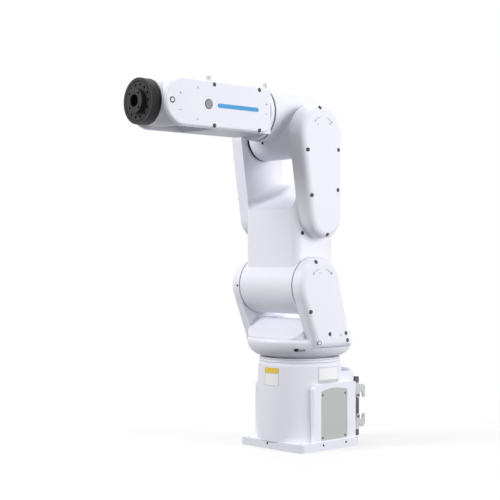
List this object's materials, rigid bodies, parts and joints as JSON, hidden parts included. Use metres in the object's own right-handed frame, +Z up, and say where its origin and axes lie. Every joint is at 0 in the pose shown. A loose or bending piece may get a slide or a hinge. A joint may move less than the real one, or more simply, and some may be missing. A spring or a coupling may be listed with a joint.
{
  "type": "six-axis industrial robot arm",
  "caption": "Six-axis industrial robot arm on a square base plate, with forked upper arm, raised forearm, wrist and round tool flange, held out level.",
  "frame": {"origin": "on the base axis, at the underside of the base plate", "axes": "+X forward along the level forearm, +Y the arm's left side, +Z up"},
  "size_m": [0.61, 0.234, 0.795],
  "materials": {
    "white_paint": "cool white semi-gloss paint on cast aluminium",
    "grey_panel": "satin light grey access panel",
    "dark_grey_plastic": "dark grey connector housing",
    "lever_metal": "light grey locking levers",
    "fitting_plastic": "pale grey threaded air fittings",
    "black_flange": "near-black satin coated steel"
  },
  "bodies": {
    "base": {"base_casting": "white_paint", "base_neck_ring": "white_paint", "side_panel_left": "grey_panel", "side_panel_right": "grey_panel", "back_panel": "white_paint", "connector_housing": "dark_grey_plastic", "connector_insert": "dark_grey_plastic"},
    "lever_upper": {"connector_lever_upper": "lever_metal"},
    "lever_lower": {"connector_lever_lower": "lever_metal"},
    "shoulder": {"turret_casting": "white_paint", "shoulder_cover_left": "white_paint", "shoulder_cover_right": "white_paint"},
    "upper_arm": {"upper_arm_casting": "white_paint", "arm_cover_left": "white_paint", "arm_cover_right": "white_paint"},
    "elbow": {"elbow_casting": "white_paint"},
    "forearm": {"forearm_casting": "white_paint", "forearm_cover_left": "white_paint", "forearm_cover_right": "white_paint", "air_fitting_front": "fitting_plastic", "air_fitting_rear": "fitting_plastic"},
    "wrist": {"wrist_casting": "white_paint"},
    "flange": {"flange_disc": "black_flange", "tool_hub": "black_flange"}
  },
  "joints": [
    {"name": "base_turn", "type": "hinge", "parent": "base", "child": "shoulder", "pos_m": [0, 0, 0.2], "axis": [0, 0, 1], "range_deg": [-170, 170]},
    {"name": "shoulder_swing", "type": "hinge", "parent": "shoulder", "child": "upper_arm", "pos_m": [0.045, 0, 0.36], "axis": [0, 1, 0], "range_deg": [-80, 125]},
    {"name": "elbow_swing", "type": "hinge", "parent": "upper_arm", "child": "elbow", "pos_m": [0.045, 0, 0.69], "axis": [0, -1, 0], "range_deg": [-65, 170]},
    {"name": "forearm_turn", "type": "hinge", "parent": "elbow", "child": "forearm", "pos_m": [0.133, 0, 0.735], "axis": [1, 0, 0], "range_deg": [-190, 190]},
    {"name": "wrist_swing", "type": "hinge", "parent": "forearm", "child": "wrist", "pos_m": [0.39, 0, 0.735], "axis": [0, 1, 0], "range_deg": [-120, 120]},
    {"name": "flange_turn", "type": "hinge", "parent": "wrist", "child": "flange", "pos_m": [0.47, 0, 0.735], "axis": [1, 0, 0], "range_deg": [-360, 360]},
    {"name": "upper_lever_swing", "type": "hinge", "parent": "base", "child": "lever_upper", "pos_m": [-0.116, 0.048, 0.108], "axis": [0, -1, 0], "range_deg": [0, 60]},
    {"name": "lower_lever_swing", "type": "hinge", "parent": "base", "child": "lever_lower", "pos_m": [-0.116, 0.048, 0.06], "axis": [0, 1, 0], "range_deg": [0, 60]}
  ]
}
